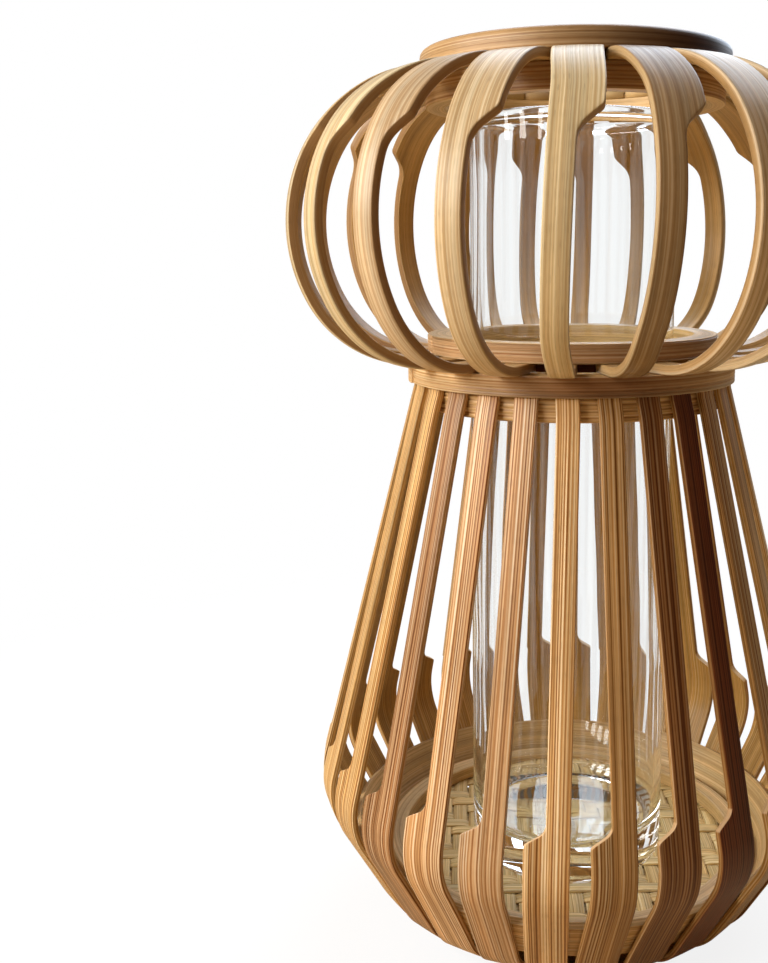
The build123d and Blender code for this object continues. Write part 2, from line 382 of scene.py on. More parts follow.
@dataclass(frozen=True)
class BambooFinish:
    """Split bamboo: straight lines of fibre along the strip under a satin lacquer.

    Attributes:
        name: Material name.
        stops: Colours of the lines, dark to light.
        rosy: The same for rosy strips.
        deep: Colour that the strips toned dark go towards: partly their own darker tone, partly painted
            shade.
        flesh: Colour that the inner, soft side of the strip goes towards.
        cut_and_shade: Colour of a sawn or shaved edge; on the bulb's slats, painted shade on the edge away
            from light.
        line: Distance from line to line in mm.
        regular: Share of even lines, against uneven ones.
        contrast: How far the fine fibres darken the lines.
        roughness: Roughness of the lacquer.
        gloss: Specular level of the lacquer.
        relief, bump: Height in mm, and strength, of the fibres that can be felt.
    """

    name: str
    stops: Stops
    rosy: Stops
    deep: str
    flesh: str
    cut_and_shade: str
    line: float
    regular: float
    contrast: float
    roughness: float
    gloss: float = 0.26
    relief: float = 0.15
    bump: float = 0.22

    def marks(self, s: Shader, across: float, along: float, detail: float) -> bpy.types.NodeSocket:
        """Add noise that is drawn out along the grain.

        Args:
            s: The shader.
            across: Width of its marks in mm.
            along: Length of its marks in mm.
            detail: Finer layers of noise in it.

        Returns:
            The noise.
        """
        grain = s.add("UVMap", {}, uv_map=GRAIN_MAP)
        scaled = s.add("Mapping", {"Vector": grain, "Scale": (1 / (across * MM), 1 / (along * MM), 1.0)})
        return s.add("TexNoise", {"Vector": scaled, "Scale": 1.0, "Detail": detail}, noise_dimensions="2D")

    def lines(self, s: Shader) -> bpy.types.NodeSocket:
        """Add the lines of fibre: a sine wave across the strip, bent by slow noise, mixed with noise.

        Args:
            s: The shader.

        Returns:
            The lines, dark to light over the range of noise.
        """
        bent = 14.0
        across = s.add("SeparateXYZ", {0: s.add("UVMap", {}, uv_map=GRAIN_MAP)})
        turns = s.add("Math", {0: across, 1: math.tau / (self.line * MM)}, operation="MULTIPLY")
        bend = {0: self.marks(s, across=5.0, along=400.0, detail=1.0), 1: bent, 2: turns}
        wave = s.add("Math", {0: s.add("Math", bend, operation="MULTIPLY_ADD")}, operation="SINE")
        even = s.add("MapRange", spread(wave, (-1.0, 1.0), NOISE))
        uneven = self.marks(s, across=0.8 * self.line, along=320.0, detail=2.0)
        return s.add("Mix", {0: self.regular, 2: uneven, 3: even})

    def shade(self, s: Shader, fibres: bpy.types.NodeSocket) -> bpy.types.NodeSocket:
        """Darken the lines by fine fibres, short pores, long bands and slow clouds of tone, multiplied.

        Args:
            s: The shader.
            fibres: Noise of the fine fibres.

        Returns:
            The share of light that is left.
        """
        depth = (1.0 - self.contrast, 1.0 + 0.3 * self.contrast)
        result = s.add("MapRange", spread(fibres, NOISE, depth))
        pores = spread(self.marks(s, across=0.16, along=5.0, detail=0.0), (0.64, 0.74), (1.0, 0.82))
        bands = spread(self.marks(s, across=3.4, along=260.0, detail=1.0), NOISE, (0.82, 1.12))
        clouds = spread(self.marks(s, across=14.0, along=55.0, detail=2.0), NOISE, (0.88, 1.08))
        for inputs in (pores, bands, clouds):
            result = s.add("Math", {0: result, 1: s.add("MapRange", inputs)}, operation="MULTIPLY")
        return result

    @cache
    def material(self) -> bpy.types.Material:
        """Build the material once: the lines, then each toning laid over the one before.

        Returns:
            The material.
        """
        s = Shader(bpy.data.materials.new(self.name))
        # Single fibres are a tenth of a millimetre wide. They are drawn wider here, so that they show.
        fibres = self.marks(s, across=0.28, along=110.0, detail=2.0)
        lines = self.lines(s)
        share = {name: s.add("Attribute", {}, "Fac", attribute_name=name) for name in TONINGS}
        # The deep layer is partly painted shade, and on the bulb's slats the cut layer is painted shade.
        layers = (
            (share["rosy"], s.add("ValToRGB", {0: lines}, stops=self.rosy), "MIX"),
            (share["flesh"], linear(self.flesh), "MIX"),
            (share["deep"], linear(self.deep), "MULTIPLY"),
            (1.0, self.shade(s, fibres), "MULTIPLY"),
            (share["cut_and_shade"], linear(self.cut_and_shade), "MIX"),
        )
        colour = s.add("ValToRGB", {0: lines}, stops=self.stops)
        for factor, over, blend in layers:
            colour = s.add("Mix", {0: factor, 6: colour, 7: over}, 2, data_type="RGBA", blend_type=blend)
        normal = s.add("Bump", {"Height": fibres, "Strength": self.bump, "Distance": self.relief * MM})
        duller, shinier = self.roughness + 0.08, self.roughness - 0.06
        rough = s.add("MapRange", spread(fibres, NOISE, (duller, shinier)))
        lacquer = {"Base Color": colour, "Roughness": rough, "Normal": normal,
                   "Specular IOR Level": self.gloss}
        s.add("OutputMaterial", {"Surface": s.add("BsdfPrincipled", lacquer)})
        return s.owner


@dataclass(frozen=True)
class GlassFinish:
    """Clear blown glass, polished by fire: a little wavy, with bright lines at the lip and in the base.

    Attributes:
        name: Material name.
        tint: Colour of the glass.
        shade: Colour of the light that falls through a wall.
        ior: Refractive index of soda-lime glass.
        swell: Distance from swell to swell of the wavy surface in mm.
        rise, bump: Height of the swells in mm, and their strength.
        gloss: Specular level of the surface.
        bounces: Bounces after which a ray counts as caught inside the wall.
    """

    name: str = "soda_lime_glass_polished"
    tint: str = "#FDFEFE"
    shade: str = "#FCFEFE"
    ior: float = 1.5
    swell: float = 22.0
    rise: float = 0.6
    bump: float = 0.25
    gloss: float = 0.15
    bounces: float = 4.5

    def material(self) -> bpy.types.Material:
        """Build the material. Light falls through the wall, and a ray that is caught in it passes out.

        Returns:
            The material.
        """
        s = Shader(bpy.data.materials.new(self.name))
        spot = s.add("TexCoord", {}, "Object")
        waves = s.add("TexNoise", {"Vector": spot, "Scale": 1 / (self.swell * MM), "Detail": 0.0})
        normal = s.add("Bump", {"Height": waves, "Strength": self.bump, "Distance": self.rise * MM})
        glass = {"Base Color": linear(self.tint), "Roughness": 0.0, "IOR": self.ior, "Normal": normal,
                 "Transmission Weight": 1.0, "Specular IOR Level": self.gloss}
        clear = s.add("BsdfTransparent", {"Color": linear(self.shade)})
        depth = s.add("LightPath", {}, "Ray Depth")
        caught = s.add("Math", {0: depth, 1: self.bounces}, operation="GREATER_THAN")
        lit = s.seen("Is Shadow Ray", "Is Diffuse Ray")
        passing = s.add("Math", {0: lit, 1: caught}, operation="MAXIMUM")
        surface = s.add("MixShader", {0: passing, 1: s.add("BsdfPrincipled", glass), 2: clear})
        s.add("OutputMaterial", {"Surface": surface})
        return s.owner


@dataclass(frozen=True)
class TableFinish:
    """Matt white table that keeps a pale shadow near the vase and goes over into the white backdrop.

    Attributes:
        name: Material name.
        colour: Colour of the table.
        bounce: Colour of the light that it throws back on the vase.
        glow: Share of plain white that is seen near the vase.
        near, far: Distances from the axis in metres between which the table goes over into plain white.
    """

    name: str = "white_table_matt"
    colour: str = "#F4F4F4"
    bounce: str = "#CCB28A"
    glow: float = 0.86
    near: float = 0.16
    far: float = 0.5

    def material(self) -> bpy.types.Material:
        """Build the material: matt paint, mixed with plain white where it is looked at.

        Returns:
            The material.
        """
        s = Shader(bpy.data.materials.new(self.name))
        away = s.add("VectorMath", {0: s.add("TexCoord", {}, "Object")}, "Value", operation="LENGTH")
        plain = s.add("MapRange", spread(away, (self.near, self.far), (self.glow, 1.0)))
        looked_at = s.seen("Is Camera Ray", "Is Transmission Ray")
        paint = {0: looked_at, 6: linear(self.bounce), 7: linear(self.colour)}
        matt = s.add("BsdfDiffuse", {"Color": s.add("Mix", paint, 2, data_type="RGBA")})
        white = s.add("Emission", {"Color": linear(WHITE), "Strength": 1.0})
        share = s.add("Math", {0: looked_at, 1: plain}, operation="MULTIPLY")
        s.add("OutputMaterial", {"Surface": s.add("MixShader", {0: share, 1: matt, 2: white})})
        return s.owner


# Bamboo shaved down to its pale middle and lacquered: straw, with faint fibres and a soft sheen on its
# bends.
# The dark brown on the edge that carries the ledge is painted shade: that edge faces away from the light.
UPPER_BAMBOO = BambooFinish(
    "split_bamboo_satin_straw", ("#B89A6C", "#C6AA7E", "#CEB88E", "#DAC6A0"),
    ("#B08E66", "#BE9C78", "#C8AC8A", "#D4BC9C"), deep="#8C6840", flesh="#C89C5C", cut_and_shade="#78502A",
    line=1.0, regular=0.05, contrast=0.14, roughness=0.36)
# Bamboo split just under the rind and lacquered: red-brown bundles of fibre stand out as stripes on tan.
LOWER_BAMBOO = BambooFinish(
    "split_bamboo_satin_striped", ("#7E4C1C", "#BC8A4C", "#DCB478", "#F0D8AC"),
    ("#885226", "#C8945E", "#EAC496", "#F8E2C2"), deep="#743A0C", flesh="#C0924E", cut_and_shade="#E2BE92",
    line=1.06, regular=0.42, contrast=0.22, roughness=0.36)
# A thick strip bent by heat, which toasts it: caramel, with painted shade darkening it towards the right.
CAP_BAMBOO = BambooFinish(
    "bent_bamboo_satin_caramel", ("#9C744A", "#AC8658", "#B89468", "#C4A67C"),
    ("#9C6C48", "#AC7C58", "#B88A68", "#C49C7C"), deep="#4E280A", flesh="#B07C42", cut_and_shade="#D8A870",
    line=0.6, regular=0.1, contrast=0.14, roughness=0.38)
# A thin strip with its fibres along the hoop: tan, with level lines. Its deep colour is painted shade.
HOOP_BAMBOO = BambooFinish(
    "strip_bamboo_satin_tan", ("#BE9058", "#DAB07C", "#E8C696", "#F2D8AE"),
    ("#A06038", "#CC9064", "#DEAC82", "#ECC6A0"), deep="#6C400F", flesh="#B08448", cut_and_shade="#D8B078",
    line=0.9, regular=0.3, contrast=0.14, roughness=0.36)
# Thin strip wound on itself and glued: each winding shows as a line, golden inside and browner outside.
# Its deep colour darkens outer faces as painted shade.
RING_BAMBOO = BambooFinish(
    "coiled_bamboo_satin_tan", ("#B08454", "#C69E68", "#D4B07E", "#E0C298"),
    ("#A67450", "#BC8C66", "#CAA07C", "#D8B694"), deep="#70400F", flesh="#DEBA80", cut_and_shade="#E0C090",
    line=1.2, regular=0.4, contrast=0.16, roughness=0.4)
# Bare strip, plaited and left without lacquer: pale and dull, with coarse fibres.
PLAIT_BAMBOO = BambooFinish(
    "plaited_bamboo_dull_straw", ("#C8A464", "#E8C886", "#F4D89A", "#FCE8B4"),
    ("#C09660", "#E0BC82", "#EECE96", "#F8E0B0"), deep="#D0B080", flesh="#B89C68", cut_and_shade="#D8C298",
    line=0.8, regular=0.2, contrast=0.24, roughness=0.55)


# Hand work


@dataclass(frozen=True)
class Wave:
    """An amount that sways round the cage.

    Attributes:
        mean: Its middle value.
        swing: How far it sways.
        waves: Waves per turn.
        start: Phase at the front in degrees.
    """

    mean: float
    swing: float
    waves: int
    start: float

    def at(self, angle: np.ndarray) -> np.ndarray:
        """Return the amount at an angle from the front in radians: the mean and a sine."""
        return self.mean + self.swing * np.sin(math.radians(self.start) + self.waves * angle)


@dataclass(frozen=True)
class Tone:
    """A toning that comes and goes round the cage.

    Attributes:
        most: The toning where it is strongest.
        waves: Times per turn that it comes, or 0 for the same toning all round.
        peak: Angle from the front in degrees at which it is strongest.
        sharp: How soon it fades away from there.
    """

    most: float = 0.0
    waves: int = 1
    peak: float = 0.0
    sharp: float = 1.0

    def at(self, angle: np.ndarray) -> np.ndarray:
        """Return the toning at an angle from the front in radians: a cosine's upper half, to a power."""
        near = np.cos(self.waves * (angle - math.radians(self.peak)))
        return self.most * np.maximum(0.0, near) ** self.sharp


def toned(tones: tuple[Tone, ...], angle: np.ndarray) -> np.ndarray:
    """Add up tonings at an angle from the front, in radians."""
    return sum((tone.at(angle) for tone in tones), 0.0 * angle)


# Bent slats


@dataclass(frozen=True)
class Stretch:
    """A stretch of a strip: its length in mm and its turn in degrees, left positive."""

    length: float
    turn: float = 0.0

    @classmethod
    def bend(cls, radius: float, turn: float) -> "Stretch":
        """Make a bent stretch by its radius on the outer face."""
        return cls(radius * abs(math.radians(turn)), turn)

    def turned(self, along: np.ndarray) -> np.ndarray:
        """Return the turn in radians after lengths in mm."""
        return math.radians(self.turn) / self.length * along

    def moved(self, heading: float, along: np.ndarray) -> np.ndarray:
        """Work out the way gone: a chord of the arc, as long as the arc times sine over angle.

        Args:
            heading: Direction at the start in radians.
            along: Lengths gone in mm.

        Returns:
            The way gone outwards and upwards in mm.
        """
        turn = self.turned(along)
        chord = along * np.sinc(turn / math.tau)
        return np.stack([chord * np.cos(heading + turn / 2), chord * np.sin(heading + turn / 2)], axis=-1)


@dataclass(frozen=True)
class StripPath:
    """The outer face of a bent strip, seen edge on.

    Attributes:
        start: Radius and height of the first point in mm.
        heading: Direction there in degrees, 0 outwards and 90 up.
        stretches: The straight and bent stretches in order.
    """

    start: tuple[float, float]
    heading: float
    stretches: tuple[Stretch, ...]

    def joints(self) -> np.ndarray:
        """Return the lengths at which the stretches end."""
        return np.cumsum([stretch.length for stretch in self.stretches])

    def at(self, lengths: np.ndarray) -> tuple[np.ndarray, np.ndarray]:
        """Follow the strip, stretch by stretch.

        Args:
            lengths: Lengths along the strip in mm.

        Returns:
            Radius and height in mm, and the outward normal, at each length.
        """
        place_now, heading, done = np.array(self.start), math.radians(self.heading), 0.0
        places, headings = np.zeros((len(lengths), 2)), np.zeros(len(lengths))
        for stretch in self.stretches:
            here = lengths >= done
            along = lengths[here] - done
            places[here] = place_now + stretch.moved(heading, along)
            headings[here] = heading + stretch.turned(along)
            place_now = place_now + stretch.moved(heading, np.array(stretch.length))
            heading += math.radians(stretch.turn)
            done += stretch.length
        return places, np.stack([-np.sin(headings), np.cos(headings)], axis=-1)


@dataclass(frozen=True)
class Shoulder:
    """The ledge between a slat's wide and narrow parts, in mm and degrees.

    Attributes:
        side: The edge that steps.
        at: Length along the strip of the ledge's outer corner.
        narrowing: 1 where the narrow part follows the ledge on the strip, -1 where it comes first.
        angle: Slope of the ledge from square across.
        fillet: Rounding of the inner corner, at the narrow part.
        corner: Rounding of the outer corner, at the wide part.
    """

    side: Side
    at: float
    narrowing: int
    angle: float
    fillet: float
    corner: float

    def beyond(self, lengths: np.ndarray) -> np.ndarray:
        """Return how far each length lies from the ledge's outer corner towards the narrow part."""
        return (lengths - self.at) * self.narrowing

    def extra(self, lengths: np.ndarray, full: float) -> np.ndarray:
        """Give the width beyond the narrow part.

        The width is full before the outer corner, falls along a straight ledge and ends at nothing. An arc
        rounds each corner, and starts where its tangent length meets the straight stretches.

        Args:
            lengths: Lengths along the strip.
            full: The whole extra width.

        Returns:
            The extra width at each length.
        """
        q = self.beyond(lengths)
        slope = math.radians(self.angle)
        drop = full * math.tan(slope)
        tangent = math.tan((math.pi / 2 - slope) / 2)
        into, out = self.corner * tangent, self.fillet * tangent
        outer = full - self.corner + np.sqrt(np.maximum(self.corner ** 2 - (q + into) ** 2, 0))
        inner = self.fillet - np.sqrt(np.maximum(self.fillet ** 2 - (drop + out - q) ** 2, 0))
        rise = math.sin(slope)
        stages = [q <= -into, q <= into * rise, q <= drop - out * rise, q <= drop + out]
        return np.select(stages, [np.full_like(q, full), outer, full - q / math.tan(slope), inner], 0.0)


@dataclass(frozen=True)
class Section:
    """A slat's section in mm: thickness, the two widths, rounding of its edges and crown of its face."""

    thickness: float
    narrow: float
    wide: float
    edge: float
    crown: float

    def laid(self, left: np.ndarray, right: np.ndarray) -> tuple[np.ndarray, np.ndarray, np.ndarray]:
        """Lay the rounded section between two edges: the outer face rightwards, then down, back and up.

        Args:
            left: Left edge beside the strip's middle line, per row.
            right: Right edge beside it.

        Returns:
            Place beside the middle line and depth under the outer face, rows by columns, and the face of
            each column of quads: 0 outer, 1 right, 2 inner, 3 left.
        """
        e, deep = self.edge, self.thickness
        low, high = (left + e)[:, None], (right - e)[:, None]
        ones = np.ones_like(low)
        # Columns over a face and round an edge. The crown is a parabola over the face.
        over = np.array([0.0, 0.08, 0.5, 0.92, 1.0])
        arc = np.radians([30.0, 60.0])
        flat = low + (high - low) * over
        bulge = ones * -self.crown * (1 - (2 * over - 1) ** 2)
        top, bottom = e - e * np.cos(arc), deep - e + e * np.sin(arc)
        runs = [
            (flat, bulge),
            (high + e * np.sin(arc), ones * top),
            (right[:, None] + np.zeros(2), ones * np.array([e, deep - e])),
            (high + e * np.cos(arc), ones * bottom),
            (flat[:, ::-1], ones * np.full(len(over), deep)),
            (low - e * np.sin(arc), ones * bottom[::-1]),
            (left[:, None] + np.zeros(2), ones * np.array([deep - e, e])),
            (low - e * np.cos(arc), ones * top[::-1]),
        ]
        beside, depth = (np.concatenate(parts, axis=1) for parts in zip(*runs))
        faces, columns = [0, 1, 2, 3, 0], [6, 4, 7, 4, 1]
        return beside, depth, np.repeat(faces, columns)


@dataclass(frozen=True)
class SlatTier:
    """One tier of bent slats round the cage.

    Attributes:
        name: Start of the slats' node names.
        slot: Material slot.
        finish: Bamboo of the tier.
        count: Slats in the tier.
        path: The outer face's path.
        section: The slat's section.
        shoulder: The slat's ledge.
        spacing: Sway of the slats' places from an even pitch, in degrees.
        lean: Lean of the slats, in degrees, about the height upright in mm.
        rosy, deep: Tonings of the slats, which add up.
        gap: Gap between the wide parts of neighbours in mm.
        step: Distance from row to row of the mesh in mm.
        settling: Height in mm at each end over which a slat's lean goes, so that its tongues stay in place.
        ledge_cut_and_shade: Share of the cut colour on the ledge: a pale sawn face below the waist, painted
            shade above.
        edge_shade: The same on the rest of the edge that carries the ledge, where it is painted shade.
        flesh: Share of the soft side's colour on the inner face.
        stain, toning_loss: Depth in mm under the outer face over which the deep toning fades, and the share
        of it that goes. The deep toning is partly painted shade.
    """

    name: str
    slot: str
    finish: BambooFinish
    count: int
    path: StripPath
    section: Section
    shoulder: Shoulder
    spacing: Wave
    lean: Wave
    upright: float
    rosy: tuple[Tone, ...]
    deep: tuple[Tone, ...]
    gap: float = 0.12
    step: float = 2.4
    settling: float = 18.0
    ledge_cut_and_shade: float = 0.6
    edge_shade: float = 0.0
    flesh: float = 0.7
    toning_depth: float = 0.8
    toning_loss: float = 0.7

    def lengths(self) -> np.ndarray:
        """Choose the lengths along the strip to build at, closer together round the ledge.

        Returns:
            The lengths in mm.
        """
        before, after, rows = 14.0, 22.0, 60
        whole = self.path.joints()[-1]
        even = np.linspace(0, whole, math.ceil(whole / self.step))
        close = self.shoulder.at + np.linspace(-before, after, rows) * self.shoulder.narrowing
        return np.unique(np.concatenate([even, close[(close > 0) & (close < whole)]]))

    def edges(self, lengths: np.ndarray, radius: np.ndarray,
              room: tuple[float, float]) -> tuple[np.ndarray, np.ndarray]:
        """Work out a slat's edges.

        The wide part ends at the planes halfway to the neighbours. Such a plane lies beside the middle line
        by the radius times the tangent of its angle, and the slat ends half a gap before it.

        Args:
            lengths: Lengths along the strip.
            radius: Radius of the outer face there.
            room: Angle to the neighbour on the left and on the right, in radians.

        Returns:
            Left and right edge beside the middle line in mm.
        """
        full = self.section.wide - self.section.narrow
        extra = self.shoulder.extra(lengths, full)
        half = self.section.narrow / 2
        right = half + extra * (self.shoulder.side is Side.RIGHT)
        left = -half - extra * (self.shoulder.side is Side.LEFT)
        wide = self.shoulder.beyond(lengths) <= 0
        middle = self.shoulder.side.value * full / 2 / np.min(radius[wide] + self.section.wide / 2)
        most = radius * math.tan(middle + room[1] / 2) - self.gap / 2
        least = radius * math.tan(middle - room[0] / 2) + self.gap / 2
        return np.where(wide, np.maximum(left, least), left), np.where(wide, np.minimum(right, most), right)

    def grain(self, beside: np.ndarray, depth: np.ndarray, face: np.ndarray) -> np.ndarray:
        """Give the grain coordinate across: place on the two faces, depth on the two edges, far apart.

        Args:
            beside: Place beside the middle line in mm.
            depth: Depth under the outer face in mm.
            face: The face of each column of quads.

        Returns:
            The coordinate in metres.
        """
        apart = 100.0
        choices = [beside, apart + depth, 2 * apart - beside, 3 * apart + depth]
        return np.choose(np.broadcast_to(face, beside.shape), choices) * MM

    def slat(self, number: int, angles: np.ndarray) -> Patch:
        """Shape one slat: its section carried along the path, then turned to its angle round the axis.

        Args:
            number: The slat's number, from 0 at the front.
            angles: Angles of all slats from the front, in radians.

        Returns:
            The slat as a closed patch.
        """
        lengths = self.lengths()
        places, normals = self.path.at(lengths)
        angle = angles[number]
        beyond = angles[(number + np.array([-1, 1])) % self.count]
        room = tuple(((beyond - angle) * np.array([-1, 1])) % math.tau)
        left, right = self.edges(lengths, places[:, 0], room)
        beside, depth, face = self.section.laid(left, right)
        radius = places[:, :1] - normals[:, :1] * depth
        height = places[:, 1:] - normals[:, 1:] * depth
        from_top, from_foot = places[:, 1].max() - height, height - places[:, 1].min()
        settled = smooth_step(from_top / self.settling) * smooth_step(from_foot / self.settling)
        lean = math.tan(math.radians(self.lean.at(angle)))
        across = beside + (height - self.upright) * lean * settled
        turn = angle + FRONT
        points = np.stack([radius * math.cos(turn) - across * math.sin(turn),
                           radius * math.sin(turn) + across * math.cos(turn), height], axis=-1) * MM
        starts = self.grain(beside, depth, face)
        ends = self.grain(np.roll(beside, -1, 1), np.roll(depth, -1, 1), face)
        stepped = right if self.shoulder.side is Side.RIGHT else left
        values = self.tonings(lengths, depth, beside - stepped[:, None], angle)
        return Patch(points, (starts, ends), lengths * MM + number, values)

    def tonings(self, lengths: np.ndarray, depth: np.ndarray, from_edge: np.ndarray,
                angle: float) -> Values:
        """Work out a slat's tonings.

        Args:
            lengths: Lengths along the strip.
            depth: Depth under the outer face.
            from_edge: Distance from the edge that carries the ledge.
            angle: The slat's angle from the front, in radians.

        Returns:
            The tonings per vertex.
        """
        close, few, soft_from = 0.05, 0.02, 0.6
        full = self.section.wide - self.section.narrow
        extra = self.shoulder.extra(lengths, full)[:, None] / full
        ledge = (extra > few) & (extra < 1 - few)
        edge = np.abs(from_edge) < close
        inner = smooth_step((depth / self.section.thickness - soft_from) / (1 - soft_from))
        # On the bulb's slats the cut colour is painted shade on the edge away from the light, and the deep
        # toning is partly painted shade, strongest on the outer face.
        return {"flesh": self.flesh * inner,
                "cut_and_shade": edge * np.where(ledge, self.ledge_cut_and_shade, self.edge_shade),
                "rosy": np.full_like(depth, toned(self.rosy, angle)),
                "deep": toned(self.deep, angle) * (1 - self.toning_loss * smooth_step(depth / self.toning_depth))}

    def build(self) -> None:
        """Build every slat of the tier."""
        even = np.arange(self.count) * math.tau / self.count
        angles = even + np.radians(self.spacing.at(even))
        material = self.finish.material()
        for number in range(self.count):
            node = f"{self.name}_{number + 1:02d}"
            piece = make_object(f"{node}_bent", [self.slat(number, angles)], material)
            place(piece, Body.CAGE, self.slot, node)


# Rings


@dataclass(frozen=True)
class CoiledRing:
    """A ring wound from bamboo strip.

    Attributes:
        piece: Name of the piece.
        slot: Material slot.
        finish: Bamboo of the ring.
        corners: Corners of its section as radius and height in mm, anticlockwise.
        rounds: Rounding of each corner in mm.
        nodes: Nodes that it stands for.
        winding: Distance between the grooves that part the windings, in mm, or 0 for a plain strip.
        groove: Depth of those grooves in mm.
        lines: Heights of single grooves on the outer face in mm.
        end_step: Height in mm of the step where the outermost winding ends.
        end_at: Angle of that end from the front in degrees.
        rosy, deep: Tonings of the ring's outer side, which add up.
        flesh: Share of the soft side's colour away from the outer side.
        turns: Rows of the mesh round the axis.
    """

    piece: str
    slot: str
    finish: BambooFinish
    corners: list[tuple[float, float]]
    rounds: list[float]
    nodes: tuple[str, ...] = ()
    winding: float = 0.0
    groove: float = 0.15
    lines: tuple[float, ...] = ()
    end_step: float = 0.0
    end_at: float = 180.0
    rosy: tuple[Tone, ...] = ()
    deep: tuple[Tone, ...] = ()
    flesh: float = 0.42
    turns: int = 240

    def grooves(self, loop: np.ndarray, around: np.ndarray, angle: np.ndarray) -> np.ndarray:
        """Work out the grooves between windings and the single lines.

        A groove between windings is a cusp: its depth times one less a power of a sine's height. Two sines
        round the axis make each winding stand a little higher or lower. A single line is a bell curve.

        Args:
            loop: Points of the section in mm.
            around: Way from point to point of the section.
            angle: Angles from the front in radians, one per row.

        Returns:
            Depth of the grooves in mm, rows by points.
        """
        cusp, sway, line_half = 0.6, 0.15, 0.25
        lengths = np.linalg.norm(around, axis=1)
        depth = np.zeros((len(angle), len(loop)))
        if self.winding:
            way = np.cumsum(lengths) / self.winding
            number = np.round(way)
            uneven = np.sin(number * 2.4 + 3 * angle) + np.sin(number * 4.1 - 5 * angle)
            crest = np.abs(np.sin(math.pi * way)) ** cusp
            depth = depth + self.groove * (1 - crest + sway * (uneven + 2))
        outer = smooth_step(around[:, 1] / lengths)
        for height in self.lines:
            depth = depth + self.groove * np.exp(-((loop[:, 1] - height) / line_half) ** 2) * outer
        return depth

    def build(self) -> None:
        """Build the ring: its section carried round the axis and pushed in along its normals."""
        fine, coarse, seam = 0.35, 2.0, 0.003
        step = fine if self.winding or self.lines else coarse
        loop = resampled(rounded_loop(self.corners, self.rounds), step)
        share = np.linspace(0, 1, self.turns)[:, None]
        angle = math.radians(self.end_at) + share * (math.tau - seam)
        around = (np.roll(loop, -1, 0) - np.roll(loop, 1, 0)) / 2
        normal = np.stack([around[:, 1], -around[:, 0]], 1) / np.linalg.norm(around, axis=1)[:, None]
        outer = smooth_step(normal[:, 0])
        into = self.end_step * (1 - share) * outer + self.grooves(loop, around, angle)
        radius = loop[:, 0] - normal[:, 0] * into
        height = loop[:, 1] - normal[:, 1] * into
        flat = np.zeros_like(radius)
        values = {"flesh": flat + self.flesh * (1 - outer), "cut_and_shade": flat,
                  "rosy": flat + toned(self.rosy, angle) * outer,
                  "deep": flat + toned(self.deep, angle) * outer}
        points = round_axis(radius, angle + FRONT, height)
        v = np.append(angle[:, 0], angle[0, 0] + math.tau) * loop[:, 0].max() * MM
        patch = Patch(points, loop_grain(loop, self.turns + 1), v, values, closed_rows=True)
        place(make_object(self.piece, [patch], self.finish.material()), Body.CAGE, self.slot, *self.nodes)


@dataclass(frozen=True)
class HoopLap:
    """The lapped end of the waist hoop's strip: blunt at its end, thinning away from it.

    Attributes:
        radius: Radius of the hoop that it lies on, in mm.
        low, high: Heights of its edges in mm.
        wall: Its thickness in mm.
        start, span: Angles from the front at which it starts and through which it runs, in degrees.
    """

    radius: float
    low: float
    high: float
    wall: float = 0.9
    start: float = -98.0
    span: float = 26.0

    def build(self) -> None:
        """Build the lap: its section grows from nothing to the full wall over the first third."""
        bed, edge, crisp = 0.3, 0.25, 0.05
        step, rows, grain_from = 0.5, 60, 3.0
        corners = [(-bed, self.low), (self.wall, self.low), (self.wall, self.high), (-bed, self.high)]
        loop = resampled(rounded_loop(corners, [crisp, edge, edge, crisp]), step)
        share = np.linspace(0, 1, rows)[:, None]
        angle = np.radians(self.start + share * self.span)
        sunk, proud = np.minimum(loop[:, 0], 0), np.maximum(loop[:, 0], 0)
        radius = self.radius + sunk + proud * smooth_step(3 * share)
        v = angle[:, 0] * self.radius * MM + grain_from
        values = dict.fromkeys(TONINGS, np.zeros_like(radius))
        patch = Patch(round_axis(radius, angle + FRONT, loop[:, 1]), loop_grain(loop, rows), v, values)
        lap = make_object("waist_hoop_lap", [patch], HOOP_BAMBOO.material())
        place(lap, Body.CAGE, "hoop_bamboo")


